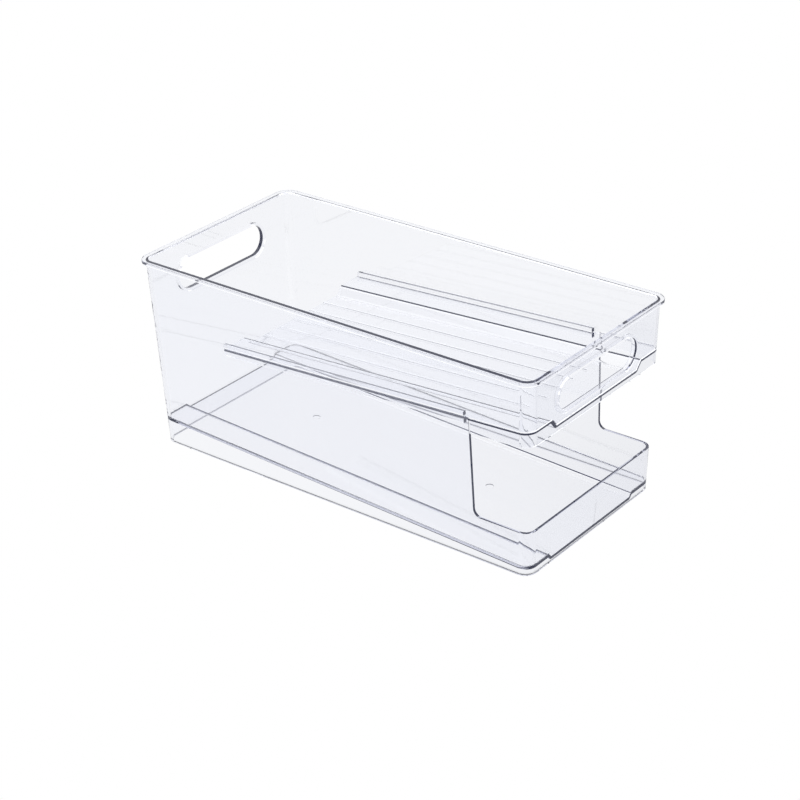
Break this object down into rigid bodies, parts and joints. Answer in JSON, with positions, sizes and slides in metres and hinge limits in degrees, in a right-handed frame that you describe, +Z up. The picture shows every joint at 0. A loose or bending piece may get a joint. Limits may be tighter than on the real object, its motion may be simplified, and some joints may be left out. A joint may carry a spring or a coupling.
{
  "type": "two-tier can dispenser bin",
  "caption": "Clear open-topped bin with a sloped floor, a sloped shelf that slides out and a low front window, so drink cans roll down to the front.",
  "frame": {"origin": "on the surface it stands on, under the middle of the footprint over the rim", "axes": "+X to the front end with the window, +Y across to the left seen from behind, +Z up"},
  "size_m": [0.357, 0.17, 0.1524],
  "materials": {
    "clear_plastic": "clear, glossy"
  },
  "bodies": {
    "bin": {"bin_body": "clear_plastic"},
    "shelf": {"can_shelf": "clear_plastic"}
  },
  "joints": [
    {"name": "shelf_slide", "type": "slide", "parent": "bin", "child": "shelf", "axis": [0.9986, 0, 0.0538], "range_m": [0, 0.28]}
  ]
}
